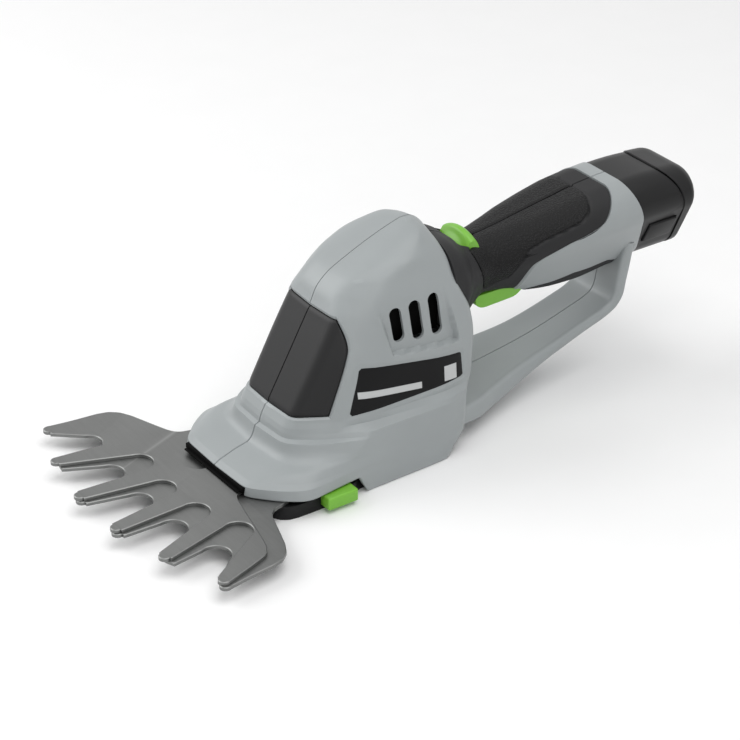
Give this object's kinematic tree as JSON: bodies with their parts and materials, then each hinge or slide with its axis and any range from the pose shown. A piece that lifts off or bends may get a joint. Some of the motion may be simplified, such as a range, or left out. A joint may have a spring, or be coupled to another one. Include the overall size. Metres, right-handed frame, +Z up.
{
  "type": "cordless grass shears",
  "caption": "Cordless grass shears with toothed fan blades under a domed motor head, a rubber grip with a guard loop, and a stick battery in the grip.",
  "frame": {"origin": "on the resting plane, straight under the blade pivot", "axes": "the blades point along -X and the battery along +X, +Z is up, -Y is the tool's left side"},
  "size_m": [0.345, 0.169, 0.115],
  "materials": {
    "grey_shell": "satin moulded, cool grey",
    "gloss_panel": "smooth dark panel",
    "dark_plastic": "fine textured black",
    "battery_plastic": "satin black",
    "grip_rubber": "soft black with a pebbled insert",
    "green_plastic": "bright green",
    "blade_steel": "ground, dull grey with bright worn edges",
    "plain_steel": "plain",
    "cast_alloy": "as cast",
    "magnet": "sintered",
    "brass": "plain",
    "copper": "copper windings and bars",
    "board": "lacquered board",
    "lead_cover": "lead insulation",
    "cell_wrap": "steel cell in a shrink sleeve, weighed as a light metal"
  },
  "bodies": {
    "housing": {"left_shell": "grey_shell", "right_shell": "grey_shell", "left_panel": "gloss_panel", "right_panel": "gloss_panel", "base_cover": "dark_plastic", "left_grip": "grip_rubber", "right_grip": "grip_rubber", "shell_screws": "plain_steel", "cover_screws": "plain_steel", "gear_frame": "cast_alloy", "pivot_pin": "plain_steel", "crank_axle": "plain_steel", "thrust_washer": "brass", "fixed_blade": "blade_steel", "blade_carrier": "dark_plastic", "carrier_rivets": "plain_steel", "motor_can": "plain_steel", "motor_magnets": "magnet", "motor_end_bell": "dark_plastic", "motor_bushes": "brass", "motor_screws": "plain_steel", "trigger_pin": "plain_steel", "trigger_spring": "plain_steel", "switch_body": "dark_plastic", "lock_spring": "plain_steel", "control_board": "board", "terminal_block": "dark_plastic", "terminal_blades": "brass", "motor_leads": "lead_cover", "supply_leads": "lead_cover", "left_release_spring": "plain_steel", "right_release_spring": "plain_steel"},
    "cutter": {"moving_blade": "blade_steel", "drive_lever": "plain_steel", "lever_rivets": "plain_steel"},
    "crank": {"crank_gear": "plain_steel", "crank_roller": "brass"},
    "rotor": {"motor_shaft": "plain_steel", "armature": "copper", "commutator": "copper", "pinion": "brass"},
    "trigger": {"trigger": "green_plastic"},
    "lock": {"lock_button": "green_plastic"},
    "release_left": {"left_release": "green_plastic"},
    "release_right": {"right_release": "green_plastic"},
    "battery": {"battery_case": "battery_plastic", "battery_cap": "battery_plastic", "battery_cells": "cell_wrap", "battery_contacts": "brass", "left_latch_spring": "plain_steel", "right_latch_spring": "plain_steel"},
    "latch_left": {"left_latch": "battery_plastic"},
    "latch_right": {"right_latch": "battery_plastic"}
  },
  "joints": [
    {"name": "crank_spin", "type": "hinge", "parent": "housing", "child": "crank", "pos_m": [-0.042, 0, 0.019], "axis": [0, 0, 1], "range_deg": [0, 180]},
    {"name": "rotor_spin", "type": "hinge", "parent": "housing", "child": "rotor", "pos_m": [-0.0172, 0, 0.05], "axis": [0, 0, 1], "range_deg": [-750, 0]},
    {"name": "blade_swing", "type": "hinge", "parent": "housing", "child": "cutter", "pos_m": [0, 0, 0.01], "axis": [0, 0, -1], "range_deg": [0, 11.2]},
    {"name": "trigger_pull", "type": "hinge", "parent": "housing", "child": "trigger", "pos_m": [0.0835, 0, 0.0665], "axis": [0, 1, 0], "range_deg": [0, 6], "stiffness_Nm_per_rad": 0.6, "springref_deg": -8.59, "deforming": ["trigger_spring"]},
    {"name": "lock_slide", "type": "slide", "parent": "housing", "child": "lock", "axis": [-1, 0, 0], "range_m": [0, 0.003], "stiffness_N_per_m": 600, "springref_m": -0.004, "deforming": ["lock_spring"]},
    {"name": "release_left_press", "type": "slide", "parent": "housing", "child": "release_left", "axis": [0, 1, 0], "range_m": [0, 0.0025], "stiffness_N_per_m": 1200, "springref_m": -0.002, "deforming": ["left_release_spring"]},
    {"name": "release_right_press", "type": "slide", "parent": "housing", "child": "release_right", "axis": [0, -1, 0], "range_m": [0, 0.0025], "stiffness_N_per_m": 1200, "springref_m": -0.002, "deforming": ["right_release_spring"]},
    {"name": "battery_slide", "type": "slide", "parent": "housing", "child": "battery", "axis": [1, 0, 0], "range_m": [0, 0.075]},
    {"name": "latch_left_press", "type": "slide", "parent": "battery", "child": "latch_left", "axis": [0, 0.898, 0.44], "range_m": [0, 0.0011], "stiffness_N_per_m": 1500, "springref_m": -0.001, "deforming": ["left_latch_spring"]},
    {"name": "latch_right_press", "type": "slide", "parent": "battery", "child": "latch_right", "axis": [0, -0.898, 0.44], "range_m": [0, 0.0011], "stiffness_N_per_m": 1500, "springref_m": -0.001, "deforming": ["right_latch_spring"]}
  ],
  "couplings": [
    {"joint": "rotor_spin", "follows": "crank_spin", "ratio": -4.1667},
    {"joint": "blade_swing", "follows": "crank_spin", "ratio": 0.062222}
  ]
}
